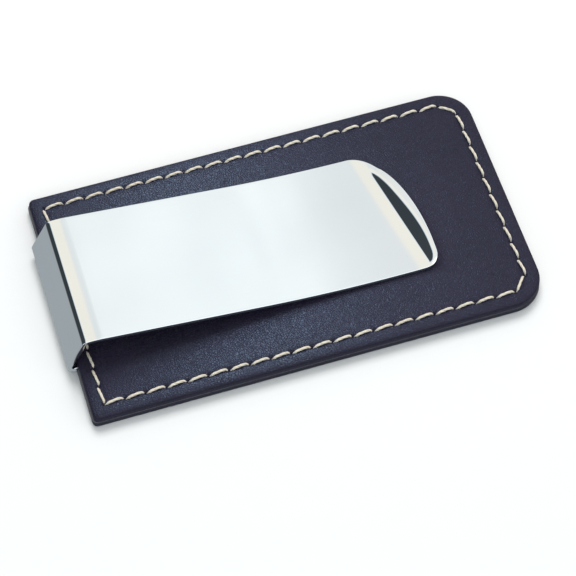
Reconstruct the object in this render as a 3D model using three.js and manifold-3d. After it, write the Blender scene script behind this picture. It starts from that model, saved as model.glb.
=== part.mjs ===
// Money clip: a two-layer leather board with a stiffener, sewn all round, and a polished spring steel clip.
// Millimetres. The origin is the centre of the underside, +X points to the rounded end, +Z to the clip side.
import * as THREE from 'three';
import { mergeVertices } from 'three/addons/utils/BufferGeometryUtils.js';
import Module from 'manifold-3d';

// Leather board
const boardLength = 86;
const boardWidth = 50;
const leatherThickness = 1.475;
const glueGap = 0.05;
const roundedEndRadius = 6.5;
const foldEndRadius = 0.8;
const edgeEase = 0.2;
const backOverhang = 0.3; // the back layer runs out this far past the front one at the fold end

// Stiffener, sealed between the leathers
const coreFit = 0.05;
const coreInset = 4.6;
const coreSideGap = 0.2;
const coreCornerRadius = 2.2;

// Steel strip
const stripWidth = 27.6;
const stripOffset = 0.8; // the strip sits this far off the board's middle, towards +Y
const steelThickness = 0.8;
const bendInsideRadius = 0.5;
const legLength = 53; // inside the board, from the fold end
const legCornerRadius = 3;
const foldReach = 1.5; // how far the lower bend stands out past the board
const webLean = 28.5; // degrees from upright, towards the board
const mouthHeight = 5.95; // from the leather to the middle of the steel, where web and arm meet
const armSplit = 0.15; // gap between the fixed bend and the moving arm
const contactGap = 0.15;
const contactStart = 48.9; // from the fold end to where the arm's slope meets its flat foot
const footEaseRadius = 225;

// Turned-up tip of the arm
const creaseReach = 64.95; // from the fold end, measured on the strip's centre line
const creaseSkew = 10.6; // degrees
const lipSlope = 30; // degrees
const tipReach = 69.2;
const tipSideLength = 23.15; // along Y, from the far side of the strip to the tip's furthest point
const tipEndLength = 9.7;
const tipCornerRadius = 2.6;

// Sewing
const stitchInset = 2.75;
const stitchCornerRadius = 2.9;
const stitchPitch = 3.9;
const threadDiameter = 0.56;
const threadSides = 5;
const threadGap = 0.04;
const threadSideGap = 0.22; // on each side of the thread in its channel
const threadHoleGap = 0.38; // on each side of the thread in the square awl holes
const lockGap = 0.2; // between the two threads where they pass each other in the seam
const channelDepth = 0.3;
const stripToStitch = 1.0;
const dipShare = 0.12; // the share of a stitch over which the thread drops into its hole

// Worked out from the sizes above
const foldEnd = -boardLength / 2;
const boardThickness = 2 * leatherThickness + glueGap;
const seamHeight = boardThickness / 2;
const halfSteel = steelThickness / 2;
const bendRadius = bendInsideRadius + halfSteel;
const coreThickness = steelThickness; // the stiffener is packed level with the steel let into it
const channelWidth = threadDiameter + 2 * threadSideGap;
const needleHole = threadDiameter + 2 * threadHoleGap;
const backChannelDepth = threadDiameter + 2 * threadGap;
const tooBig = 10; // how far cutting bodies run past what they cut
const sharpRadius = 0.05; // a corner left as good as square
const arcSteps = 6;

const wasm = await Module();
wasm.setup();

function solid(geometry) {
  const bare = geometry.clone();
  bare.deleteAttribute('normal');
  bare.deleteAttribute('uv');
  const merged = mergeVertices(bare, 1e-4);
  const mesh = new wasm.Mesh({
    numProp: 3,
    vertProperties: new Float32Array(merged.attributes.position.array),
    triVerts: new Uint32Array(merged.index.array),
  });
  return new wasm.Manifold(mesh);
}

function shell(body) {
  const mesh = body.getMesh();
  const geometry = new THREE.BufferGeometry();
  geometry.setAttribute('position', new THREE.BufferAttribute(mesh.vertProperties, 3));
  geometry.setIndex(new THREE.BufferAttribute(mesh.triVerts, 1));
  geometry.computeVertexNormals();
  return geometry;
}

function cut(body, tools) {
  return tools.reduce((left, tool) => left.subtract(tool), body);
}

// A rectangle with one radius at the fold end and another at the rounded end
function boardOutline(xLow, xHigh, halfWidth, foldRadius, endRadius) {
  const outline = new THREE.Shape();
  outline.moveTo(xLow + foldRadius, -halfWidth);
  outline.lineTo(xHigh - endRadius, -halfWidth);
  outline.absarc(xHigh - endRadius, -halfWidth + endRadius, endRadius, -Math.PI / 2, 0);
  outline.lineTo(xHigh, halfWidth - endRadius);
  outline.absarc(xHigh - endRadius, halfWidth - endRadius, endRadius, 0, Math.PI / 2);
  outline.lineTo(xLow + foldRadius, halfWidth);
  outline.absarc(xLow + foldRadius, halfWidth - foldRadius, foldRadius, Math.PI / 2, Math.PI);
  outline.lineTo(xLow, -halfWidth + foldRadius);
  outline.absarc(xLow + foldRadius, -halfWidth + foldRadius, foldRadius, Math.PI, 1.5 * Math.PI);
  return outline;
}

function insetOutline(inset, endRadius) {
  return boardOutline(foldEnd + inset, -foldEnd - inset, boardWidth / 2 - inset, sharpRadius, endRadius);
}

function plate(outline, zLow, zHigh, ease = 0) {
  const geometry = new THREE.ExtrudeGeometry(outline, {
    depth: zHigh - zLow - 2 * ease,
    curveSegments: arcSteps,
    bevelEnabled: ease > 0,
    bevelThickness: ease,
    bevelSize: ease,
    bevelOffset: -ease,
    bevelSegments: 1,
  });
  return solid(geometry.translate(0, 0, zLow + ease));
}

function block(xLow, xHigh, yLow, yHigh, zLow, zHigh) {
  const geometry = new THREE.BoxGeometry(xHigh - xLow, yHigh - yLow, zHigh - zLow);
  return solid(geometry.translate((xLow + xHigh) / 2, (yLow + yHigh) / 2, (zLow + zHigh) / 2));
}

// The row of stitches: up beside the strip, round the board, and back to the strip's other side
function stitchRow() {
  const x = boardLength / 2 - stitchInset;
  const y = boardWidth / 2 - stitchInset;
  const r = stitchCornerRadius;
  const fitting = (room) => Math.max(0, Math.floor((room - stripToStitch) / stitchPitch)) * stitchPitch;
  const farStub = fitting(y - stripOffset - stripWidth / 2);
  const nearStub = fitting(y + stripOffset - stripWidth / 2);
  const line = (x1, y1, x2, y2) => new THREE.LineCurve(new THREE.Vector2(x1, y1), new THREE.Vector2(x2, y2));
  const runs = [
    line(-x, y - farStub, -x, y),
    line(-x, y, x - r, y),
    new THREE.EllipseCurve(x - r, y - r, r, r, Math.PI / 2, 0, true),
    line(x, y - r, x, r - y),
    new THREE.EllipseCurve(x - r, r - y, r, r, 0, -Math.PI / 2, true),
    line(x - r, -y, -x, -y),
    line(-x, -y, -x, nearStub - y),
  ].filter((run) => run.getLength() > 0);
  const stitches = [];
  for (const run of runs) {
    const count = Math.max(1, Math.round(run.getLength() / stitchPitch));
    for (let i = 0; i < count; i += 1) {
      stitches.push((share) => run.getPoint((i + share) / count));
    }
  }
  return { stitches, farEnd: y - farStub, nearEnd: nearStub - y };
}

const row = stitchRow();

// A thread runs level along each stitch and drops to its lock height at every hole
class ThreadPath extends THREE.Curve {
  constructor(level, lock) {
    super();
    this.level = level;
    this.lock = lock;
    this.shares = [0, dipShare, 0.5, 1 - dipShare, 1];
  }

  getUtoTmapping(u) {
    return u;
  }

  getPoint(t, target = new THREE.Vector3()) {
    const perStitch = this.shares.length - 1;
    const place = THREE.MathUtils.clamp(t, 0, 1) * row.stitches.length * perStitch;
    const step = Math.min(Math.floor(place), row.stitches.length * perStitch - 1);
    const inStitch = step % perStitch;
    const share = THREE.MathUtils.lerp(this.shares[inStitch], this.shares[inStitch + 1], place - step);
    const flat = row.stitches[Math.floor(step / perStitch)](share);
    const drop = Math.max(0, 1 - Math.min(share, 1 - share) / dipShare);
    return target.set(flat.x, flat.y, THREE.MathUtils.lerp(this.level, this.lock, drop));
  }
}

function threadGeometry(level, lock) {
  const section = new THREE.Shape(
    Array.from({ length: threadSides }, (_, i) => {
      const angle = (2 * Math.PI * i) / threadSides;
      return new THREE.Vector2(Math.cos(angle), Math.sin(angle)).multiplyScalar(threadDiameter / 2);
    }),
  );
  const extrudePath = new ThreadPath(level, lock);
  const steps = row.stitches.length * (extrudePath.shares.length - 1);
  return new THREE.ExtrudeGeometry(section, { steps, extrudePath, bevelEnabled: false });
}

function needleHoles() {
  const places = row.stitches.map((stitch) => stitch(0));
  places.push(row.stitches.at(-1)(1));
  const half = needleHole / 2;
  return places.map(({ x, y }) => block(x - half, x + half, y - half, y + half, -tooBig, tooBig));
}

// The shallow channel that the thread lies in, open only where there are stitches
function stitchChannel(zLow, zHigh) {
  const half = channelWidth / 2;
  const outer = plate(insetOutline(stitchInset - half, stitchCornerRadius + half), zLow, zHigh);
  const island = insetOutline(stitchInset + half, stitchCornerRadius - half);
  const inner = plate(island, zLow - tooBig, zHigh + tooBig);
  const skip = block(
    foldEnd - tooBig, foldEnd + stitchInset + channelWidth,
    row.nearEnd + half, row.farEnd - half, zLow - tooBig, zHigh + tooBig,
  );
  return cut(outer, [inner, skip]);
}

// The hollow between the leathers that holds the stiffener and lets the steel out at the fold end
function pocket() {
  const zLow = seamHeight - coreThickness / 2 - coreFit;
  const zHigh = seamHeight + coreThickness / 2 + coreFit;
  const hollow = plate(insetOutline(coreInset, coreCornerRadius), zLow, zHigh);
  const halfMouth = stripWidth / 2 + coreSideGap;
  const mouth = block(
    foldEnd - tooBig, foldEnd + coreInset + coreCornerRadius,
    stripOffset - halfMouth, stripOffset + halfMouth, zLow, zHigh,
  );
  return hollow.add(mouth);
}

function leatherLayer(xLow, zLow, zHigh, channel) {
  const outline = boardOutline(xLow, -foldEnd, boardWidth / 2, foldEndRadius, roundedEndRadius);
  const layer = plate(outline, zLow, zHigh, edgeEase);
  return shell(cut(layer, [pocket(), channel, ...needleHoles()]));
}

function backLeather() {
  return leatherLayer(foldEnd, 0, leatherThickness, stitchChannel(-tooBig, backChannelDepth));
}

function frontLeather() {
  const channel = stitchChannel(boardThickness - channelDepth, boardThickness + tooBig);
  return leatherLayer(foldEnd + backOverhang, leatherThickness + glueGap, boardThickness, channel);
}

function coreBoard() {
  const outline = insetOutline(coreInset + coreSideGap, coreCornerRadius);
  const board = plate(outline, seamHeight - coreThickness / 2, seamHeight + coreThickness / 2);
  const halfWindow = stripWidth / 2 + coreSideGap;
  const window = block(
    foldEnd - tooBig, foldEnd + legLength + coreSideGap,
    stripOffset - halfWindow, stripOffset + halfWindow, 0, boardThickness,
  );
  return shell(cut(board, [window]));
}

// Points of the strip's middle line in the X-Z plane, from the leg's end to the lip
function stripLine() {
  const lean = THREE.MathUtils.degToRad(90 - webLean);
  const bendCentre = new THREE.Vector2(foldEnd - foldReach + bendRadius + halfSteel, seamHeight + bendRadius);
  const out = new THREE.Vector2(-Math.sin(lean), Math.cos(lean));
  const webStart = bendCentre.clone().addScaledVector(out, bendRadius);
  const xOnWeb = (z) => webStart.x + (z - webStart.y) / Math.tan(lean);
  const topHeight = boardThickness + mouthHeight;
  const footHeight = boardThickness + contactGap + halfSteel;
  const lipRun = 2 * (tipReach - creaseReach);
  const crease = foldEnd + creaseReach;
  return {
    legEnd: new THREE.Vector2(foldEnd + legLength, seamHeight),
    lowerCorner: new THREE.Vector2(xOnWeb(seamHeight), seamHeight),
    topCorner: new THREE.Vector2(xOnWeb(topHeight), topHeight),
    footCorner: new THREE.Vector2(foldEnd + contactStart, footHeight),
    crease: new THREE.Vector2(crease, footHeight),
    lipEnd: new THREE.Vector2(
      crease + lipRun,
      footHeight + lipRun * Math.tan(THREE.MathUtils.degToRad(lipSlope)),
    ),
  };
}

// The line through the given corners, each rounded by its own radius
function rounded(points, radii) {
  const line = [points[0]];
  for (let i = 1; i < points.length - 1; i += 1) {
    const before = points[i - 1].clone().sub(points[i]).normalize();
    const after = points[i + 1].clone().sub(points[i]).normalize();
    const half = Math.acos(THREE.MathUtils.clamp(before.dot(after), -1, 1)) / 2;
    const centre = before.clone().add(after).normalize().multiplyScalar(radii[i - 1] / Math.sin(half));
    centre.add(points[i]);
    const start = points[i].clone().addScaledVector(before, radii[i - 1] / Math.tan(half)).sub(centre);
    const end = points[i].clone().addScaledVector(after, radii[i - 1] / Math.tan(half)).sub(centre);
    const turn = Math.atan2(start.cross(end), start.dot(end));
    for (let step = 0; step <= arcSteps; step += 1) {
      line.push(start.clone().rotateAround(new THREE.Vector2(), (turn * step) / arcSteps).add(centre));
    }
  }
  line.push(points.at(-1));
  return line;
}

// A strip of steel whose middle follows the line, across the whole strip width
function stripBody(line) {
  const sides = [[], []];
  line.forEach((point, i) => {
    const before = i > 0 ? point.clone().sub(line[i - 1]).normalize() : null;
    const after = i < line.length - 1 ? line[i + 1].clone().sub(point).normalize() : null;
    const along = (before ?? after).clone().add(after ?? before).normalize();
    const spread = halfSteel / along.dot(before ?? after);
    const across = new THREE.Vector2(-along.y, along.x).multiplyScalar(spread);
    sides[0].push(point.clone().add(across));
    sides[1].unshift(point.clone().sub(across));
  });
  const geometry = new THREE.ExtrudeGeometry(new THREE.Shape([...sides[0], ...sides[1]]), {
    depth: stripWidth,
    bevelEnabled: false,
  });
  return geometry.rotateX(Math.PI / 2).translate(0, stripOffset + stripWidth / 2, 0);
}

// Where the fixed bend ends and the moving arm starts
function armRoot(line) {
  const along = line.footCorner.clone().sub(line.topCorner).normalize();
  const web = line.topCorner.clone().sub(line.lowerCorner).normalize();
  const turn = Math.acos(THREE.MathUtils.clamp(along.dot(web), -1, 1));
  const bendEnd = line.topCorner.clone().addScaledVector(along, bendRadius * Math.tan(turn / 2));
  return {
    fixed: bendEnd.clone().addScaledVector(along, halfSteel),
    moving: bendEnd.clone().addScaledVector(along, halfSteel + armSplit),
  };
}

function clipLeg() {
  const line = stripLine();
  const corners = [line.legEnd, line.lowerCorner, line.topCorner, armRoot(line).fixed];
  const bent = solid(stripBody(rounded(corners, [bendRadius, bendRadius])));
  const plan = boardOutline(
    foldEnd - tooBig, foldEnd + legLength, stripWidth / 2, sharpRadius, legCornerRadius,
  );
  const trim = plate(plan, -tooBig, 2 * tooBig).translate([0, stripOffset, 0]);
  return shell(bent.intersect(trim));
}

// The tip seen from above: a quarter ellipse from the far side, and a small radius at the near side
function armOutline() {
  const far = stripOffset + stripWidth / 2;
  const near = stripOffset - stripWidth / 2;
  const tip = foldEnd + tipReach;
  const r = tipCornerRadius;
  const outline = new THREE.Shape();
  outline.moveTo(foldEnd - tooBig, near);
  outline.lineTo(tip - r, near);
  outline.absarc(tip - r, near + r, r, -Math.PI / 2, 0);
  outline.lineTo(tip, far - tipSideLength);
  outline.absellipse(tip - tipEndLength, far - tipSideLength, tipEndLength, tipSideLength, 0, Math.PI / 2);
  outline.lineTo(foldEnd - tooBig, far);
  return outline;
}

function clipArm() {
  const line = stripLine();
  const corners = [armRoot(line).moving, line.footCorner, line.crease, line.lipEnd];
  const strip = stripBody(rounded(corners, [footEaseRadius, bendRadius]));
  const place = strip.attributes.position;
  const skew = Math.tan(THREE.MathUtils.degToRad(creaseSkew));
  const skewFrom = line.crease.x - 2 * bendRadius;
  for (let i = 0; i < place.count; i += 1) {
    if (place.getX(i) > skewFrom) {
      place.setX(i, place.getX(i) - skew * (place.getY(i) - stripOffset));
    }
  }
  return shell(solid(strip).intersect(plate(armOutline(), -tooBig, 2 * tooBig)));
}

function needleThread() {
  const level = boardThickness - channelDepth + threadGap + threadDiameter / 2;
  return threadGeometry(level, seamHeight + (lockGap + threadDiameter) / 2);
}

function bobbinThread() {
  return threadGeometry(threadGap + threadDiameter / 2, seamHeight - (lockGap + threadDiameter) / 2);
}

const leather = { color: 0x3b3b4d, roughness: 0.55, metalness: 0 };
const steel = { color: 0xe4e8ea, roughness: 0.08, metalness: 1 };
const board = { color: 0x6f5d47, roughness: 0.9, metalness: 0 };
const thread = { color: 0xd6cdb8, roughness: 0.7, metalness: 0 };

const pieces = [
  ['back_leather', backLeather(), leather],
  ['front_leather', frontLeather(), leather],
  ['core_board', coreBoard(), board],
  ['clip_leg', clipLeg(), steel],
  ['clip_arm', clipArm(), steel],
  ['needle_thread', needleThread(), thread],
  ['bobbin_thread', bobbinThread(), thread],
];

const group = new THREE.Group();
for (const [name, geometry, finish] of pieces) {
  const mesh = new THREE.Mesh(geometry, new THREE.MeshStandardMaterial(finish));
  mesh.name = name;
  group.add(mesh);
}

export default group;
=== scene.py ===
from math import atan2, cos, hypot, pi, radians, sin, sqrt, tan

import bpy
from mathutils import Euler, Matrix, Vector


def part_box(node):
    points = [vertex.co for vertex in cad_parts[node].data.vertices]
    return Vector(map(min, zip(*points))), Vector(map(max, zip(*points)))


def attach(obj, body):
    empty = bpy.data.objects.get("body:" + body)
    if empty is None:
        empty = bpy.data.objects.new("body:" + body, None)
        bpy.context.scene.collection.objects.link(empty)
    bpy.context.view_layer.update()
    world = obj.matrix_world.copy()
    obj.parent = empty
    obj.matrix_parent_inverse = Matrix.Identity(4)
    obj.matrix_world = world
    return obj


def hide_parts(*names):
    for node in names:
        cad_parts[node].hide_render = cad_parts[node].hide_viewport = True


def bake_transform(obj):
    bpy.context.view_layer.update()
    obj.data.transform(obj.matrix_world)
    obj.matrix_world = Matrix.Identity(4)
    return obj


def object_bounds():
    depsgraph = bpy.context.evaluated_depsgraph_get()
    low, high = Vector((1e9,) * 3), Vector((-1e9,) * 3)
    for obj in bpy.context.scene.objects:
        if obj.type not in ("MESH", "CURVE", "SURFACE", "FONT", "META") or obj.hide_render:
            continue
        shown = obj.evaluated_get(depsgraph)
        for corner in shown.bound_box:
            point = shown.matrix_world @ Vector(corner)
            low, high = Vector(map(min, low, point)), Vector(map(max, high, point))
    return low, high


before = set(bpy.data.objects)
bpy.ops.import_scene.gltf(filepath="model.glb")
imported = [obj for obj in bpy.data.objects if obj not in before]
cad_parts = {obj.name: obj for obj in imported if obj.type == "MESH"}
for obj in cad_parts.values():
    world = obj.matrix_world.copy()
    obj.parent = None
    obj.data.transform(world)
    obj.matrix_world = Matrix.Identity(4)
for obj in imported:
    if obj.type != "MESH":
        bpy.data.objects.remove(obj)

mm = 0.001
cadLow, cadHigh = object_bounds()                   # the whole object, before anything is added
backLow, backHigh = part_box("back_leather")
frontLow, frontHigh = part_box("front_leather")
coreLow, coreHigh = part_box("core_board")
legLow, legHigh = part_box("clip_leg")
leatherTop = frontHigh.z
seamHeight = (backHigh.z + frontLow.z) / 2      # where the two leathers meet


def clearSelection():
    if bpy.context.object and bpy.context.object.mode != "OBJECT":
        bpy.ops.object.mode_set(mode="OBJECT")
    bpy.ops.object.select_all(action="DESELECT")


def pick(piece):
    clearSelection()
    piece.select_set(True)
    bpy.context.view_layer.objects.active = piece


def newest(name):
    piece = bpy.context.object
    piece.name = name
    piece.data.name = name
    return piece


def selectWhere(piece, part, test):             # part is "vertices", "edges" or "polygons"
    bpy.ops.object.mode_set(mode="OBJECT")
    mesh = piece.data
    for kind in (mesh.vertices, mesh.edges, mesh.polygons):
        kind.foreach_set("select", [False] * len(kind))
    for item in getattr(mesh, part):
        item.select = bool(test(item))
    bpy.ops.object.mode_set(mode="EDIT")
    bpy.ops.mesh.select_mode(type={"vertices": "VERT", "edges": "EDGE", "polygons": "FACE"}[part])


def edgeRun(piece, edge):
    first, last = (piece.data.vertices[i].co for i in edge.vertices)
    return last - first


def applyModifier(piece, kind, **settings):
    pick(piece)
    modifier = piece.modifiers.new(kind.title(), kind)
    for key, value in settings.items():
        setattr(modifier, key, value)
    bpy.ops.object.modifier_apply(modifier=modifier.name)


def applyPlace(piece):
    pick(piece)
    bpy.ops.object.transform_apply(location=True, rotation=True, scale=True)


def closeUp(piece, smoothAngle=35):             # merges doubles, points the faces out and shades
    pick(piece)
    bpy.ops.object.mode_set(mode="EDIT")
    bpy.ops.mesh.select_all(action="SELECT")
    bpy.ops.mesh.remove_doubles(threshold=0.002 * mm)
    bpy.ops.mesh.normals_make_consistent(inside=False)
    bpy.ops.object.mode_set(mode="OBJECT")
    bpy.ops.object.shade_smooth_by_angle(angle=radians(smoothAngle))


def cutAway(piece, cutter):
    applyModifier(piece, "BOOLEAN", operation="DIFFERENCE", solver="EXACT", object=cutter)
    bpy.data.objects.remove(cutter)


def box(low, high, name="block"):
    clearSelection()
    low, high = Vector(low), Vector(high)
    bpy.ops.mesh.primitive_cube_add(size=1, location=(low + high) / 2, scale=high - low)
    piece = newest(name)
    applyPlace(piece)
    return piece


camera = dict(
    azimuth=-14.4, elevation=56.86, roll=-2.92, distance=0.47756,
    lens=160.8, sensor=36, nearLimit=0.01, aside=-0.67 * mm, above=5.92 * mm,
)


def makeCamera():
    turn = Euler((radians(90 - camera["elevation"]), 0, radians(camera["azimuth"]))).to_matrix()
    turn = turn @ Matrix.Rotation(radians(camera["roll"]), 3, "Z")
    aside, above, back = turn.col
    clearSelection()
    bpy.ops.object.camera_add()
    piece = bpy.context.object
    piece.name = "studioCamera"
    piece.matrix_world = turn.to_4x4()
    piece.location = back * camera["distance"] - aside * camera["aside"] - above * camera["above"]
    piece.data.lens = camera["lens"]
    piece.data.sensor_width = camera["sensor"]
    piece.data.clip_start = camera["nearLimit"]
    bpy.context.scene.camera = piece


makeCamera()
print("camera placed")


class Reading:                                  # a socket's value, so that sums can be written plainly
    def __init__(self, finish, socket):
        self.finish = finish
        self.socket = socket

    def math(self, operation, first, second):
        return self.finish.node("ShaderNodeMath", {"operation": operation}, {0: first, 1: second})

    def __add__(self, other):
        return self.math("ADD", self, other)

    def __radd__(self, other):
        return self.math("ADD", other, self)

    def __sub__(self, other):
        return self.math("SUBTRACT", self, other)

    def __rsub__(self, other):
        return self.math("SUBTRACT", other, self)

    def __mul__(self, other):
        return self.math("MULTIPLY", self, other)

    def __rmul__(self, other):
        return self.math("MULTIPLY", other, self)

    def between(self, low, high):               # 0 below low, 1 above high
        settings = {"interpolation_type": "SMOOTHSTEP"}
        sockets = {"Value": self, "From Min": low, "From Max": high}
        return self.finish.node("ShaderNodeMapRange", settings, sockets)


class Finish:                                   # a material, or the sky, on its way
    def __init__(self, owner, shader="Principled BSDF", **fixed):
        owner.use_nodes = True
        self.owner = owner
        self.nodes = owner.node_tree.nodes
        self.links = owner.node_tree.links
        self.shader = self.nodes[shader]
        self.wear(**fixed)

    def plug(self, socket, value):
        if isinstance(value, Reading):
            self.links.new(value.socket, socket)
        else:
            socket.default_value = value

    def node(self, kind, settings, sockets, output=0):
        made = self.nodes.new(kind)
        for key, value in settings.items():
            setattr(made, key, value)
        for key, value in sockets.items():
            self.plug(made.inputs[key], value)
        return Reading(self, made.outputs[output])

    def place(self, stretch=(1, 1, 1), spot="Object"):
        where = self.node("ShaderNodeTexCoord", {}, {}, spot)
        return self.node("ShaderNodeMapping", {}, {"Vector": where, "Scale": stretch})

    def axes(self, spot):                       # X, Y and Z apart
        where = self.node("ShaderNodeTexCoord", {}, {}, spot)
        split = self.node("ShaderNodeSeparateXYZ", {}, {"Vector": where}).socket.node
        return [Reading(self, output) for output in split.outputs]

    def noise(self, scale, detail=3, roughness=0.55, where=None):
        sockets = {"Vector": where or self.place(), "Scale": scale, "Detail": detail, "Roughness": roughness}
        return self.node("ShaderNodeTexNoise", {}, sockets)

    def blendColours(self, share, first, second):
        settings = {"data_type": "RGBA"}
        return self.node("ShaderNodeMix", settings, {0: share, 6: first, 7: second}, 2)

    def bump(self, height, distance, strength=1.0, under=None):
        sockets = {"Height": height, "Distance": distance, "Strength": strength}
        if under:
            sockets["Normal"] = under
        return self.node("ShaderNodeBump", {}, sockets)

    def wear(self, **sockets):
        for socket, value in sockets.items():
            self.plug(self.shader.inputs[socket.replace("_", " ")], value)
        return self.owner


def newFinish(name, **fixed):
    return Finish(bpy.data.materials.new(name), **fixed)


skin = dict(                                    # the leather's dye and grain; scales are per metre
    deep=(0.0104, 0.0084, 0.0222, 1), pale=(0.0146, 0.0115, 0.029, 1), mottled=(0.009, 0.008, 0.021, 1),
    crevice=(0.006, 0.0055, 0.015, 1), gloss=0.24, roughness=0.34,
    patchScale=55, mottleScale=1500, grainScale=2300, poreScale=5200, creaseScale=420,
    creaseDepth=0.14 * mm, grainDepth=0.06 * mm,
)


def leatherFinish():
    finish = newFinish("darkBlueLeather", Specular_IOR_Level=skin["gloss"])
    patches = finish.noise(skin["patchScale"], 4)
    mottle = finish.noise(skin["mottleScale"], 3, 0.6)
    grain = finish.node("ShaderNodeTexVoronoi", {"feature": "DISTANCE_TO_EDGE"},
                        {"Vector": finish.place(), "Scale": skin["grainScale"], "Randomness": 0.95})
    pores = finish.noise(skin["poreScale"], 2)
    creases = finish.noise(skin["creaseScale"], 5, 0.6)
    tone = finish.blendColours(patches.between(0.3, 0.7), skin["deep"], skin["pale"])
    tone = finish.blendColours(mottle.between(0.3, 0.7) * 0.4, tone, skin["mottled"])
    tone = finish.blendColours(grain.between(0.0, 0.1), skin["crevice"], tone)
    rough = skin["roughness"] + 0.08 * patches + 0.08 * pores
    relief = finish.bump(creases, skin["creaseDepth"], 0.5)
    relief = finish.bump(grain.between(0.0, 0.22) + 0.5 * pores, skin["grainDepth"], 0.9, relief)
    return finish.wear(Base_Color=tone, Roughness=rough, Normal=relief)


polish = dict(                                  # the steel's mirror, with faint hairlines along the strip
    cool=(0.83, 0.87, 0.885, 1), clear=(0.86, 0.89, 0.9, 1), roughness=0.045,
    hairlineScale=900, hairlineStretch=(0.04, 1, 1), hairlineDepth=0.002 * mm, hazeScale=70,
)


def steelFinish():
    finish = newFinish("polishedSteel", Metallic=1.0)
    hairlines = finish.noise(polish["hairlineScale"], 3, 0.6, finish.place(stretch=polish["hairlineStretch"]))
    haze = finish.noise(polish["hazeScale"], 3)
    tone = finish.blendColours(haze.between(0.3, 0.75), polish["cool"], polish["clear"])
    rough = polish["roughness"] + 0.03 * hairlines + 0.02 * haze
    relief = finish.bump(hairlines, polish["hairlineDepth"], 0.15)
    return finish.wear(Base_Color=tone, Roughness=rough, Normal=relief)


cotton = dict(                                  # the thread
    dull=(0.43, 0.38, 0.3, 1), bright=(0.66, 0.6, 0.5, 1), dusty=(0.38, 0.34, 0.28, 1),
    sheen=0.15, roughness=0.6, fibreScale=9000, dustScale=600, fibreDepth=0.02 * mm,
)


def threadFinish():
    finish = newFinish("waxedThread", Sheen_Weight=cotton["sheen"])
    fibres = finish.noise(cotton["fibreScale"], 3)
    dust = finish.noise(cotton["dustScale"], 3)
    tone = finish.blendColours(fibres.between(0.3, 0.7), cotton["dull"], cotton["bright"])
    tone = finish.blendColours(dust.between(0.55, 0.8), tone, cotton["dusty"])
    relief = finish.bump(fibres, cotton["fibreDepth"], 0.5)
    return finish.wear(Base_Color=tone, Roughness=cotton["roughness"] + 0.15 * dust, Normal=relief)


pulp = dict(                                    # the stiffener's pressed fibre
    dark=(0.1, 0.065, 0.035, 1), pale=(0.26, 0.18, 0.1, 1), fleck=(0.06, 0.04, 0.025, 1), roughness=0.85,
    strandScale=700, strandStretch=(1, 0.25, 1), fleckScale=2400, depth=0.04 * mm,
)


def fibreBoardFinish():
    finish = newFinish("pressedFibreBoard")
    strands = finish.noise(pulp["strandScale"], 5, 0.7, finish.place(stretch=pulp["strandStretch"]))
    flecks = finish.noise(pulp["fleckScale"], 2)
    tone = finish.blendColours(strands, pulp["dark"], pulp["pale"])
    tone = finish.blendColours(flecks.between(0.62, 0.7), tone, pulp["fleck"])
    relief = finish.bump(strands + 0.5 * flecks, pulp["depth"], 0.5)
    return finish.wear(Base_Color=tone, Roughness=pulp["roughness"] + 0.1 * strands, Normal=relief)


glue = dict(                                    # the thin line that shows round the board's edge
    dark=(0.06, 0.06, 0.07, 1), pale=(0.14, 0.138, 0.15, 1), roughness=0.5,
    lumpScale=900, lumpDepth=0.02 * mm,
)


def glueFinish():
    finish = newFinish("driedGlue")
    lumps = finish.noise(glue["lumpScale"], 3)
    tone = finish.blendColours(lumps, glue["dark"], glue["pale"])
    relief = finish.bump(lumps, glue["lumpDepth"], 0.5)
    return finish.wear(Base_Color=tone, Roughness=glue["roughness"] + 0.2 * lumps, Normal=relief)


leatherSkin = leatherFinish()
steel = steelFinish()
waxedThread = threadFinish()
fibreBoard = fibreBoardFinish()
driedGlue = glueFinish()
print("finishes mixed")


def dress(piece, material):
    piece.data.materials.clear()
    piece.data.materials.append(material)


sewing = dict(                                  # one row of stitches, shared by the leather and the thread
    inset=2.75 * mm, cornerRadius=2.9 * mm, pitch=3.9 * mm, besideStrip=1.0 * mm,
    plyRadius=0.165 * mm, plySpread=0.55, plies=3, plySides=8, plySteps=24, twist=radians(430),
    slant=radians(7.5), crown=0.1 * mm, shoulder=0.8 * mm, shoulderDepth=0.06 * mm,
    tuck=0.24 * mm, dive=0.75 * mm, bowSteps=16, frontLift=0.03 * mm, backLift=0.13 * mm, threadOverPly=2.05,
)


def stitchEnds(roundTheBoard):
    x = backHigh.x - sewing["inset"]
    y = backHigh.y - sewing["inset"]
    r = sewing["cornerRadius"]
    pitch = sewing["pitch"]
    farStub = int((y - legHigh.y - sewing["besideStrip"]) / pitch) * pitch
    nearStub = int((legLow.y + y - sewing["besideStrip"]) / pitch) * pitch
    turns = [
        [(-x, y - farStub), (-x, y)], [(-x, y), (x - r, y)], [(x - r, y), (x, y - r)],
        [(x, y - r), (x, r - y)], [(x, r - y), (x - r, -y)], [(x - r, -y), (-x, -y)],
        [(-x, -y), (-x, nearStub - y)],
    ]
    if roundTheBoard:                           # the front's row runs on under the folded steel
        turns.append((turns[-1][1], turns[0][0]))
    ends = []
    for first, last in turns:
        first, last = Vector(first), Vector(last)
        count = max(1, round((last - first).length / pitch))
        for i in range(count):
            ends.append((first.lerp(last, i / count), first.lerp(last, (i + 1) / count)))
    return ends


frontStitches = stitchEnds(True)
backStitches = stitchEnds(False)
print(len(frontStitches) + len(backStitches), "stitches set out")


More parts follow.
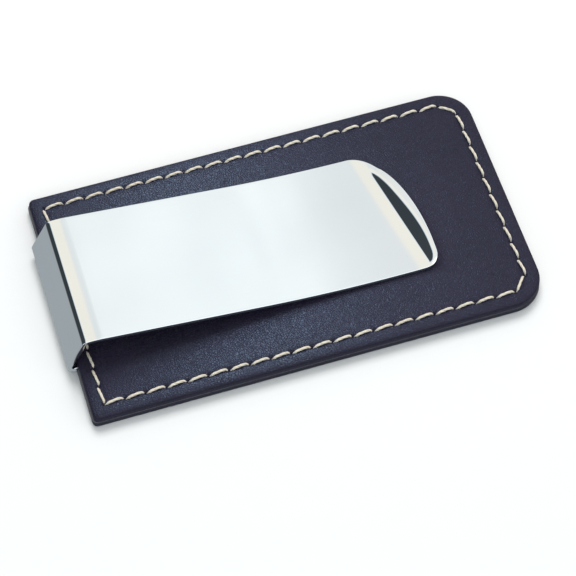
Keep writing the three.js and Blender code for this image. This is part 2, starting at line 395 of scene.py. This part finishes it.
leather = dict(                                 # the two layers and the glue between them
    endRadius=6.5 * mm, endSteps=24, foldRadius=1.0 * mm, foldSteps=6, foldCurve=0.6, cornerRoom=0.1 * mm,
    outlineStep=0.33 * mm, outlineHalvings=12, wallSteps=3, seamEase=0.1 * mm,
    dimpleDepth=0.55 * mm, dimpleReach=0.6 * mm,
    quietMargin=1.2 * mm, quietFrom=1.5 * mm, quietWidth=4 * mm,       # the fold's end without a channel
    pocketSide=0.2 * mm, pocketFit=0.05 * mm, mouthPast=2 * mm, mouthInto=1 * mm,
    filmHeight=0.17 * mm, filmInset=0.035 * mm, filmSteps=16,          # the glue between the layers
)
frontProfile = [                                # inset from the edge and height from the flat, in mm
    (0, -0.62), (0.03, -0.45), (0.1, -0.29), (0.22, -0.16), (0.4, -0.06), (0.62, -0.01), (0.95, 0.03),
    (1.35, 0.03), (1.75, 0.005), (2.05, -0.03), (2.25, -0.07), (2.42, -0.11), (2.58, -0.14), (2.75, -0.15),
    (2.92, -0.14), (3.08, -0.11), (3.25, -0.07), (3.45, -0.04), (3.75, -0.015), (4.2, 0),
]
backProfile = [
    (0, -0.5), (0.03, -0.36), (0.1, -0.22), (0.22, -0.11), (0.4, -0.03), (0.62, 0), (1.4, 0), (2.0, 0),
    (2.2, -0.04), (2.32, -0.4), (2.45, -0.58), (2.6, -0.64), (2.75, -0.65),
    (2.9, -0.64), (3.05, -0.58), (3.18, -0.4), (3.3, -0.04), (3.5, 0), (4.2, 0),
]


def selectLargest(piece):
    bpy.ops.object.mode_set(mode="OBJECT")
    largest = max(piece.data.polygons, key=lambda p: p.area)
    selectWhere(piece, "polygons", lambda p: p.index == largest.index)


def sharpenCorners(piece, corner, room):        # what the next step in would overrun is drawn into the corner
    bpy.ops.object.mode_set(mode="OBJECT")
    largest = max(piece.data.polygons, key=lambda p: p.area)
    drawn = set()
    for i in largest.vertices:
        spot = piece.data.vertices[i].co
        if spot.x < corner.x + room and abs(spot.y) > corner.y - room:
            spot.x = corner.x
            spot.y = corner.y if spot.y > 0 else -corner.y
            drawn.add(i)
    selectWhere(piece, "vertices", lambda v: v.index in drawn)
    bpy.ops.mesh.remove_doubles(threshold=0.001 * mm)


def insetProfile(piece, low, high, profile):    # steps the top in along the profile
    for before, after in zip(profile, profile[1:]):
        step = (after[0] - before[0]) * mm
        if before[0] > leather["foldCurve"]:    # past most of the fold end's small corner radius
            corner = Vector((low.x + before[0] * mm, high.y - before[0] * mm))
            sharpenCorners(piece, corner, step + leather["cornerRoom"])
        selectLargest(piece)
        bpy.ops.mesh.inset(thickness=step, depth=(after[1] - before[1]) * mm)


def leatherLayer(name, low, high, profile):
    middle = (low.x + high.x) / 2
    clearSelection()
    bpy.ops.mesh.primitive_plane_add(size=1, location=(middle, 0, 0))
    piece = newest(name)
    bpy.ops.object.mode_set(mode="EDIT")
    bpy.ops.transform.resize(value=(high.x - low.x, high.y - low.y, 1))
    applyPlace(piece)
    selectWhere(piece, "vertices", lambda v: v.co.x > middle)
    bpy.ops.mesh.bevel(offset=leather["endRadius"], segments=leather["endSteps"], affect="VERTICES")
    selectWhere(piece, "vertices", lambda v: v.co.x < middle)
    bpy.ops.mesh.bevel(offset=leather["foldRadius"], segments=leather["foldSteps"], affect="VERTICES")
    bpy.ops.mesh.select_all(action="SELECT")
    bpy.ops.mesh.delete(type="ONLY_FACE")
    for _ in range(leather["outlineHalvings"]):         # halves the outline's edges until they are short
        selectWhere(piece, "edges", lambda e: edgeRun(piece, e).length > leather["outlineStep"])
        bpy.ops.mesh.subdivide(number_cuts=1)
    bpy.ops.mesh.select_all(action="SELECT")
    bpy.ops.mesh.edge_face_add()
    bpy.ops.object.mode_set(mode="OBJECT")
    facesDown = piece.data.polygons[0].normal.z < 0
    selectLargest(piece)
    if facesDown:
        bpy.ops.mesh.flip_normals()
    insetProfile(piece, low, high, profile)
    return piece


def pressHoles(piece, stitches):
    bpy.ops.object.mode_set(mode="OBJECT")
    holes = [ends[0] for ends in stitches] + [stitches[-1][1]]
    reach = leather["dimpleReach"]
    for vertex in piece.data.vertices:
        spot = vertex.co
        gap = min(hypot(spot.x - hole.x, spot.y - hole.y) for hole in holes)
        if gap < reach:
            spot.z -= leather["dimpleDepth"] * cos(gap / reach * pi / 2) ** 2


def fillUnderStrip(piece, flatHeight):          # the back's channel stops beside the folded steel
    bpy.ops.object.mode_set(mode="OBJECT")
    edge = backLow.x + leather["quietFrom"]
    for vertex in piece.data.vertices:
        spot = vertex.co
        beside = max(legLow.y - spot.y, spot.y - legHigh.y)
        if beside < leather["quietMargin"] and edge < spot.x < edge + leather["quietWidth"]:
            spot.z = flatHeight


def finishLayer(piece, low, high, profile, faceDown):
    depth = high.z - low.z
    rim = -profile[0][1] * mm                   # the rounded rim's height
    walls = leather["wallSteps"]
    bpy.ops.object.mode_set(mode="EDIT")
    bpy.ops.mesh.select_mode(type="EDGE")
    bpy.ops.mesh.select_all(action="DESELECT")
    bpy.ops.mesh.select_non_manifold()
    drop = depth - rim - leather["seamEase"]
    for _ in range(walls):
        bpy.ops.mesh.extrude_edges_move(TRANSFORM_OT_translate={"value": (0, 0, -drop / walls)})
    bpy.ops.mesh.edge_face_add()
    bpy.ops.mesh.select_mode(type="FACE")
    bpy.ops.mesh.normals_make_consistent(inside=False)
    bpy.ops.mesh.inset(thickness=leather["seamEase"], depth=leather["seamEase"])
    bpy.ops.mesh.select_all(action="SELECT")
    lift = high.z - rim
    if faceDown:
        bpy.ops.transform.resize(value=(1, 1, -1), center_override=(0, 0, 0))
        lift = low.z + rim
    bpy.ops.transform.translate(value=(0, 0, lift))
    closeUp(piece)


def hollowOut(piece):                           # the stiffener's pocket, then the steel's way into it
    side = leather["pocketSide"]
    fit = leather["pocketFit"]
    cutAway(piece, box((coreLow.x - side, coreLow.y - side, coreLow.z - fit),
                       (coreHigh.x + side, coreHigh.y + side, coreHigh.z + fit), "pocket"))
    cutAway(piece, box((cadLow.x - leather["mouthPast"], legLow.y - side, coreLow.z - fit),
                       (coreLow.x + leather["mouthInto"], legHigh.y + side, coreHigh.z + fit), "mouth"))


def makeLeather(name, node, low, high, profile, stitches, faceDown):
    piece = leatherLayer(name, low, high, profile)
    if faceDown:
        fillUnderStrip(piece, -profile[0][1] * mm)
    pressHoles(piece, stitches)
    finishLayer(piece, low, high, profile, faceDown)
    hollowOut(piece)
    dress(piece, leatherSkin)
    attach(piece, "board")
    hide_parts(node)
    return piece


def roundEnd(piece, end, half, radius, segments):       # a thin box's upright corners at end 1 or -1
    def upright(edge):
        return abs(edgeRun(piece, edge).z) > half and piece.data.vertices[edge.vertices[0]].co.x * end > 0

    selectWhere(piece, "edges", upright)
    bpy.ops.mesh.bevel(offset=radius, segments=segments, affect="EDGES")
    bpy.ops.object.mode_set(mode="OBJECT")


def makeSeamLine():                             # the glue that shows between the two leathers
    half = leather["filmHeight"] / 2
    inset = leather["filmInset"]
    piece = box((backLow.x + inset, backLow.y + inset, seamHeight - half),
                (backHigh.x - inset, backHigh.y - inset, seamHeight + half), "glueLine")
    roundEnd(piece, 1, half, leather["endRadius"], leather["filmSteps"])
    roundEnd(piece, -1, half, leather["foldRadius"], leather["foldSteps"])
    hollowOut(piece)
    closeUp(piece)
    dress(piece, driedGlue)
    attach(piece, "board")


frontLeather = makeLeather("frontLeather", "front_leather", frontLow, frontHigh, frontProfile, frontStitches,
                           faceDown=False)
print("front leather shaped")
backLeather = makeLeather("backLeather", "back_leather", backLow, backHigh, backProfile, backStitches,
                          faceDown=True)
makeSeamLine()
print("back leather shaped and glued")


def plainPly(length):
    radius = sewing["plyRadius"]
    clearSelection()
    bpy.ops.mesh.primitive_cylinder_add(
        vertices=sewing["plySides"], radius=radius, depth=length, end_fill_type="NGON",
        location=(length / 2, 0, radius * sewing["plySpread"]), rotation=(0, radians(90), 0))
    piece = newest("stitch")
    applyPlace(piece)
    selectWhere(piece, "edges", lambda e: abs(edgeRun(piece, e).x) > length / 2)
    bpy.ops.mesh.subdivide(number_cuts=sewing["plySteps"])
    bpy.ops.mesh.select_all(action="SELECT")
    for _ in range(sewing["plies"] - 1):
        bpy.ops.mesh.duplicate()
        bpy.ops.transform.rotate(value=2 * pi / sewing["plies"], orient_axis="X", center_override=(0, 0, 0))
    bpy.ops.object.mode_set(mode="OBJECT")
    return piece


def stitchBow(span):                            # the curve one stitch follows, from hole to hole
    half = [(sewing["tuck"], -sewing["dive"]), (sewing["shoulder"], -sewing["shoulderDepth"])]
    clearSelection()
    bpy.ops.curve.primitive_bezier_curve_add(location=(0, 0, 0))
    bow = newest("stitchBow")
    bow.data.dimensions = "3D"
    bow.data.resolution_u = sewing["bowSteps"]
    bow.data.splines.clear()
    spline = bow.data.splines.new("BEZIER")
    spots = half + [(span / 2, sewing["crown"])] + [(span - x, z) for x, z in reversed(half)]
    spline.bezier_points.add(len(spots) - 1)
    for point, (x, z) in zip(spline.bezier_points, spots):
        point.co = (x, 0, z)
        point.handle_left_type = "AUTO"
        point.handle_right_type = "AUTO"
    return bow


def oneStitch():
    bow = stitchBow(sewing["pitch"])
    length = bow.data.splines[0].calc_length()
    piece = plainPly(length)
    applyModifier(piece, "SIMPLE_DEFORM", deform_method="TWIST", deform_axis="X", angle=sewing["twist"])
    applyModifier(piece, "CURVE", object=bow, deform_axis="POS_X")
    bpy.data.objects.remove(bow)
    closeUp(piece, 60)
    return piece


def sewRow(name, node, stitches, height, upside):       # upside is 1 on the front and -1 on the back
    model = oneStitch()
    copies = []
    for first, last in stitches:
        run = last - first
        copy = model.copy()
        copy.data = model.data.copy()
        bpy.context.collection.objects.link(copy)
        angle = atan2(run.y, run.x) + sewing["slant"] * upside
        middle = (first + last) / 2
        start = middle - Vector((cos(angle), sin(angle))) * run.length / 2
        copy.rotation_euler = (0, 0, angle)
        copy.location = (start.x, start.y, height)
        copy.scale = (run.length / sewing["pitch"], 1, upside)
        copies.append(copy)
    bpy.data.objects.remove(model)
    clearSelection()
    for copy in copies:
        copy.select_set(True)
    bpy.context.view_layer.objects.active = copies[0]
    bpy.ops.object.transform_apply(location=True, rotation=True, scale=True)
    bpy.ops.object.join()
    piece = newest(name)
    closeUp(piece, 60)
    dress(piece, waxedThread)
    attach(piece, "board")
    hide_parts(node)
    return piece


threadRadius = sewing["plyRadius"] * sewing["threadOverPly"]
sewRow("needleThread", "needle_thread", frontStitches, leatherTop + sewing["frontLift"], 1)
sewRow("bobbinThread", "bobbin_thread", backStitches, threadRadius + sewing["backLift"], -1)
print("rows sewn")


strip = dict(                                   # lengths along X are from the board's fold end
    thickness=0.8 * mm, bendRadius=0.9 * mm, reach=1.5 * mm, lean=radians(61.5), mouthHeight=5.95 * mm,
    shoulderFrom=4.6 * mm, shoulderHeight=8.99 * mm, shoulderRadius=17 * mm,
    footFrom=48.9 * mm, footGap=0.55 * mm, easeRadius=225 * mm,
    creaseFrom=64.95 * mm, creaseSkew=tan(radians(10.6)), creaseEase=0.28 * mm,
    leadLength=3.2 * mm, leadSlope=0.11, lipSlope=tan(radians(30)), lipFade=0.5 * mm,
    tipFrom=69.2 * mm, tipSide=23.15 * mm, tipEnd=9.7 * mm, tipCorner=2.6 * mm,
    rimNear=0.6 * mm, rimFar=1.57 * mm, rimEase=0.3 * mm, rimRise=tan(radians(1.5)),
    rimFrom=-10 * mm, rimTo=5 * mm,             # Y between which the flat rim widens
    edgeEase=0.1 * mm,
    tangFrom=2 * mm, tangCorner=3 * mm, tangSteps=10,
)
stripMesh = dict(                               # how finely the strip's sheet is divided
    rows=48, tipStart=56 * mm, bendSteps=14, shoulderSteps=12, straightSteps=16, easeSteps=20,
    approachSteps=12, turnSteps=8, lipSteps=4, cornerSteps=40, endSteps=160,
    squareOn=0.6 * mm, edgeStep=0.2 * mm, leastStep=0.04 * mm, turnReach=1.2,
)
stripNear = legLow.y
stripFar = legHigh.y
stripMiddle = (stripNear + stripFar) / 2
foldEnd = backLow.x
flatHeight = leatherTop + strip["footGap"]      # of the middle of the steel at its foot


def fillet(points, radii, steps):               # the line through the corners, each rounded off
    line = [points[0]]
    for i in range(1, len(points) - 1):
        before = (points[i - 1] - points[i]).normalized()
        after = (points[i + 1] - points[i]).normalized()
        half = before.angle(after) / 2
        centre = points[i] + (before + after).normalized() * radii[i - 1] / sin(half)
        start = points[i] + before * radii[i - 1] / tan(half) - centre
        end = points[i] + after * radii[i - 1] / tan(half) - centre
        sweep = atan2(start.x * end.y - start.y * end.x, start.dot(end))
        for step in range(steps[i - 1] + 1):
            angle = sweep * step / steps[i - 1]
            line.append(centre + Vector((start.x * cos(angle) - start.y * sin(angle),
                                         start.x * sin(angle) + start.y * cos(angle))))
    line.append(points[-1])
    return line


def stripCorners():                             # X and Z of the middle line's corners
    bend = strip["bendRadius"]
    lean = strip["lean"]
    centre = Vector((foldEnd - strip["reach"] + bend + strip["thickness"] / 2, seamHeight + bend))
    web = centre + Vector((-sin(lean), cos(lean))) * bend

    def onWeb(z):
        return Vector((web.x + (z - web.y) / tan(lean), z))

    return [
        Vector((foldEnd + strip["tangFrom"], seamHeight)),
        onWeb(seamHeight),
        onWeb(leatherTop + strip["mouthHeight"]),
        Vector((foldEnd + strip["shoulderFrom"], strip["shoulderHeight"])),
        Vector((foldEnd + strip["footFrom"], flatHeight)),
        Vector((foldEnd + strip["creaseFrom"], flatHeight)),
    ]


corners = stripCorners()
footCorner = corners[4]
armSlope = (footCorner.y - corners[3].y) / (footCorner.x - corners[3].x)
easeLength = strip["easeRadius"] * tan(-atan2(armSlope, 1) / 2)


def armHeight(x):                               # the arm's straight slope, eased into its flat foot
    fromFoot = x - footCorner.x
    if fromFoot > easeLength:
        return flatHeight
    if fromFoot < -easeLength:
        return flatHeight + armSlope * fromFoot
    return flatHeight - armSlope * (easeLength - fromFoot) ** 2 / (4 * easeLength)


def ramp(run, ease):                            # 0 before the corner, run after it, rounded between
    if run < -ease:
        return 0
    return run if run > ease else (run + ease) ** 2 / (4 * ease)


def smoothStep(value, low, high):
    share = min(1, max(0, (value - low) / (high - low)))
    return share * share * (3 - 2 * share)


def walk(path, distance):                       # the place this far along a line of points
    for first, last in zip(path, path[1:]):
        step = (last - first).length
        if distance <= step:
            return first.lerp(last, distance / step)
        distance -= step
    return path[-1]


def pathLength(path):
    return sum((last - first).length for first, last in zip(path, path[1:]))


def tipOutline():                               # from the near side round to the far side
    tip = foldEnd + strip["tipFrom"]
    corner = strip["tipCorner"]
    tall = strip["tipSide"]
    wide = strip["tipEnd"]
    outline = []
    for step in range(stripMesh["cornerSteps"] + 1):
        turn = step * pi / 2 / stripMesh["cornerSteps"]
        outline.append(Vector((tip - corner + corner * sin(turn), stripNear + corner - corner * cos(turn))))
    for step in range(stripMesh["endSteps"] + 1):
        turn = step * pi / 2 / stripMesh["endSteps"]
        outline.append(Vector((tip - wide + wide * cos(turn), stripFar - tall + tall * sin(turn))))
    return outline


def edgeAt(y):                                  # X of the tip's outline at this Y
    tip = foldEnd + strip["tipFrom"]
    corner = strip["tipCorner"]
    nearCentre = stripNear + corner
    farCentre = stripFar - strip["tipSide"]
    if y < nearCentre:
        return tip - corner + sqrt(max(0, corner ** 2 - (nearCentre - y) ** 2))
    if y < farCentre:
        return tip
    share = (y - farCentre) / strip["tipSide"]
    return tip - strip["tipEnd"] + strip["tipEnd"] * sqrt(max(0, 1 - share ** 2))


def tipPaths(start, rows):                      # each row's line, from the arm square onto the tip's outline
    outline = tipOutline()
    length = pathLength(outline)
    paths = []
    for row in range(rows + 1):
        y = stripNear + (stripFar - stripNear) * row / rows
        end = walk(outline, length * row / rows)
        path = [Vector((start, y)), end]
        if 0 < row < rows:                      # a point just inside, square to the outline there
            along = walk(outline, length * (row + 0.2) / rows) - walk(outline, length * (row - 0.2) / rows)
            path.insert(1, end + Vector((-along.y, along.x)).normalized() * stripMesh["squareOn"])
        paths.append(path)
    return paths


def creaseX(y):
    return corners[5].x - strip["creaseSkew"] * (y - stripMiddle)


def rimWidth(y):
    wider = smoothStep(y, strip["rimFrom"], strip["rimTo"])
    return strip["rimNear"] + (strip["rimFar"] - strip["rimNear"]) * wider


def rimX(y):
    return max(edgeAt(y) - rimWidth(y), creaseX(y))


def tipHeight(x, y):
    crease = creaseX(y)
    rim = rimX(y)
    lead = max(0, min(x, crease) - crease + strip["leadLength"])
    rise = strip["leadSlope"] * lead ** 2 / (2 * strip["leadLength"])
    lipSlope = strip["lipSlope"] * smoothStep(edgeAt(y) - rimWidth(y) - crease, 0, strip["lipFade"])
    rise += lipSlope * ramp(x - crease, strip["creaseEase"])
    level = max(0, lipSlope - strip["rimRise"]) * ramp(x - rim, strip["rimEase"])
    return armHeight(x) + rise - level


def meets(path, length, lineX):                 # how far along the path the line is crossed
    low, high = 0, length
    for _ in range(30):
        middle = (low + high) / 2
        spot = walk(path, middle)
        if spot.x < lineX(spot.y):
            low = middle
        else:
            high = middle
    return high


def tipRow(path):                               # one row's places, close together at the crease and the rim
    length = pathLength(path)
    room = length - stripMesh["edgeStep"]
    crossing = meets(path, length, creaseX)
    rim = meets(path, length, rimX)
    ease = strip["creaseEase"] * stripMesh["turnReach"]
    rimEase = strip["rimEase"] * stripMesh["turnReach"]
    approach = stripMesh["approachSteps"]
    half = stripMesh["turnSteps"] / 2
    lip = stripMesh["lipSteps"]
    stops = [(crossing - ease) * i / approach for i in range(approach)]
    stops += [crossing + ease * (i / half - 1) for i in range(stripMesh["turnSteps"] + 1)]
    stops += [crossing + ease + (rim - rimEase - crossing - ease) * i / lip for i in range(1, lip)]
    stops += [rim + rimEase * (i / half - 1) for i in range(stripMesh["turnSteps"] + 1)]
    stops += [rim + rimEase + (room - rim - rimEase) * i / lip for i in range(1, lip + 1)]
    placed = []
    for i, stop in enumerate(stops):            # no two too close together, and the last clear of the edge
        low = placed[-1] + stripMesh["leastStep"] if placed else 0
        high = room - (len(stops) - 1 - i) * stripMesh["leastStep"]
        placed.append(min(max(stop, low), high))
    return [walk(path, stop) for stop in placed + [length]]


def makeStrip():
    rows = stripMesh["rows"]
    tipStart = foldEnd + stripMesh["tipStart"]
    easeStart = footCorner.x - easeLength
    radii = [strip["bendRadius"], strip["bendRadius"], strip["shoulderRadius"]]
    steps = [stripMesh["bendSteps"], stripMesh["bendSteps"], stripMesh["shoulderSteps"]]
    line = fillet(corners[:5], radii, steps)[:-1]
    for start, stop, count in ((line[-1].x, easeStart, stripMesh["straightSteps"]),
                               (easeStart, tipStart, stripMesh["easeSteps"])):
        for i in range(1, count + 1):
            x = start + (stop - start) * i / count
            line.append(Vector((x, armHeight(x))))
    paths = tipPaths(tipStart, rows)
    columns = len(line) + len(tipRow(paths[0])) - 1
    clearSelection()
    bpy.ops.mesh.primitive_grid_add(x_subdivisions=columns - 1, y_subdivisions=rows, size=1)
    piece = newest("springStrip")
    places = []
    for row in range(rows + 1):
        y = stripNear + (stripFar - stripNear) * row / rows
        places.append([Vector((point.x, y, point.y)) for point in line])
        for spot in tipRow(paths[row])[1:]:
            places[-1].append(Vector((spot.x, spot.y, tipHeight(spot.x, spot.y))))
    for vertex in piece.data.vertices:
        column = round((vertex.co.x + 0.5) * (columns - 1))
        row = round((vertex.co.y + 0.5) * rows)
        vertex.co = places[row][column]
    closeUp(piece)
    applyModifier(piece, "SOLIDIFY", thickness=strip["thickness"], offset=0,
                  use_even_offset=True, use_quality_normals=True)
    applyModifier(piece, "BEVEL", width=strip["edgeEase"], segments=3, limit_method="ANGLE",
                  angle_limit=radians(60), use_clamp_overlap=False)
    closeUp(piece, 50)
    dress(piece, steel)
    return piece


def makeTang():                                 # the strip's rounded end, glued between the leathers
    half = strip["thickness"] / 2
    piece = box((foldEnd + strip["tangFrom"], stripNear, seamHeight - half),
                (legHigh.x, stripFar, seamHeight + half), "clipTang")
    roundEnd(piece, 1, half, strip["tangCorner"], strip["tangSteps"])
    applyModifier(piece, "BEVEL", width=strip["edgeEase"], segments=2, limit_method="ANGLE",
                  angle_limit=radians(60))
    closeUp(piece)
    dress(piece, steel)
    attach(piece, "board")


springStrip = makeStrip()
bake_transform(springStrip)
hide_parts("clip_leg", "clip_arm")
makeTang()
print("steel bent")


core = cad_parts["core_board"]             # the stiffener keeps its own shape
core.data.materials.clear()
core.data.materials.append(fibreBoard)
print("stiffener surfaced")


studio = dict(
    floorSize=3.0, floorDrop=0.02 * mm, floorTone=0.62, floorFleck=0.01, fleckScale=300,
    floorRoughness=0.9, keyPower=10.0, keySize=0.55, keyFrom=(0.16, 0.52, 0.95),
)


def makeFloor():
    clearSelection()
    bpy.ops.mesh.primitive_plane_add(size=studio["floorSize"], location=(0, 0, -studio["floorDrop"]))
    floor = newest("paleFloor")
    finish = newFinish("palePaper")
    speckle = finish.noise(studio["fleckScale"], 3)
    pale = studio["floorTone"]
    fleck = pale - studio["floorFleck"]
    paper = finish.blendColours(speckle, (pale, pale, pale, 1), (fleck, fleck, fleck, 1))
    floor.data.materials.append(finish.wear(Base_Color=paper, Roughness=studio["floorRoughness"]))
    floor.visible_glossy = False


def makeKey():
    spot = Vector(studio["keyFrom"])
    clearSelection()
    bpy.ops.object.light_add(type="AREA", location=spot)
    key = bpy.context.object
    key.name = "softKey"
    key.data.size = studio["keySize"]
    key.data.energy = studio["keyPower"]
    key.rotation_euler = spot.to_track_quat("Z", "Y").to_euler()
    key.visible_glossy = False


sky = dict(                                     # pairs are where a part of the sky starts and is full
    lean=0.45, panelEdge=(0.45, 0.62),          # a large soft panel above, leaning to the right
    overBack=0.55, overBackFade=(0.56, 0.85),
    clouds=0.17, cloudScale=30, cloudsAcross=(0.14, 0.3), cloudsUp=(0.5, 0.7),
    dip=0.08, dipFrom=(0.1, 0.17), dipTo=(0.2, 0.27),
    horizon=0.046, below=0.36, belowFade=(0.02, 0.4),
    fromFront=1.0, frontFade=(0.1, 0.6), frontUp=(-0.1, 0.3),
    fromLeft=0.9, leftFade=(0.5, 0.9), leftToBack=(0.15, 0.42), leftUp=(-0.1, 0.1),
    leftDim=0.85, leftOver=(0.1, 0.75),
    creamFrom=(-0.26, -0.16), cream=(1.03, 0.985, 0.89, 1), creamTo=(0.1, 0.17), cool=(0.955, 0.985, 0.99, 1),
    dusk=(0.85, 1.05, 1.2, 1), shadeFade=(-0.1, 0.1), shade=(0.92, 1.0, 1.06, 1),
)


def makeSky():
    bpy.context.scene.world = bpy.data.worlds.new("studioSky")
    finish = Finish(bpy.context.scene.world, "Background")
    x, y, z = finish.axes("Generated")
    toPanel = (z + sky["lean"] * x) * (1 / hypot(1, sky["lean"]))
    toPanel = toPanel + y.between(*sky["overBackFade"]) * sky["overBack"]
    onPanel = toPanel.between(*sky["panelEdge"])
    cloth = finish.noise(sky["cloudScale"], 3, 0.5, finish.place(spot="Generated")).between(0.3, 0.7)
    dip = x.between(*sky["dipFrom"]) * (1 - x.between(*sky["dipTo"])) * sky["dip"]
    clouds = x.between(*sky["cloudsAcross"]) * z.between(*sky["cloudsUp"]) * sky["clouds"]
    panel = onPanel * (1 - sky["clouds"] / 2 + clouds * cloth - dip)
    ground = (z * -1).between(*sky["belowFade"]) * sky["below"]
    front = (y * -1).between(*sky["frontFade"]) * z.between(*sky["frontUp"]) * sky["fromFront"]
    left = (x * -1).between(*sky["leftFade"]) * (1 - y.between(*sky["leftToBack"]))
    left = left * z.between(*sky["leftUp"]) * (1 - sky["leftDim"] * z.between(*sky["leftOver"]))
    left = left * sky["fromLeft"]
    tint = finish.blendColours(x.between(*sky["creamTo"]), sky["cream"], sky["cool"])
    tint = finish.blendColours(x.between(*sky["creamFrom"]), sky["cool"], tint)
    tint = finish.blendColours(onPanel, sky["dusk"], tint)
    tint = finish.blendColours((z * -1).between(*sky["shadeFade"]), tint, sky["shade"])
    finish.wear(Color=tint, Strength=panel + ground + front + left + sky["horizon"])


gleam = dict(                                   # two small blue lamps that only the leather shines back
    spots=[((-20 * mm, 12 * mm, 3 * mm), 0.05), ((-10 * mm, -18 * mm, 3 * mm), 0.034)],    # over, power
    towards=(0.136, 0.53, 0.837), away=55 * mm, size=28 * mm, colour=(0.5, 0.74, 1.0),
)


def makeGleam(pieces):
    towards = Vector(gleam["towards"]).normalized()
    lit = bpy.data.collections.new("litByGleam")
    for piece in pieces:
        lit.objects.link(piece)
    for over, power in gleam["spots"]:
        clearSelection()
        bpy.ops.object.light_add(type="AREA", location=Vector(over) + towards * gleam["away"])
        lamp = bpy.context.object
        lamp.name = "blueGleam"
        lamp.data.size = gleam["size"]
        lamp.data.energy = power
        lamp.data.color = gleam["colour"]
        lamp.rotation_euler = towards.to_track_quat("Z", "Y").to_euler()
        lamp.visible_diffuse = False
        lamp.visible_camera = False
        lamp.light_linking.receiver_collection = lit


makeFloor()
makeKey()
makeSky()
makeGleam([frontLeather, backLeather])
bpy.context.scene.view_settings.view_transform = "Standard"
print("studio lit")

clearSelection()
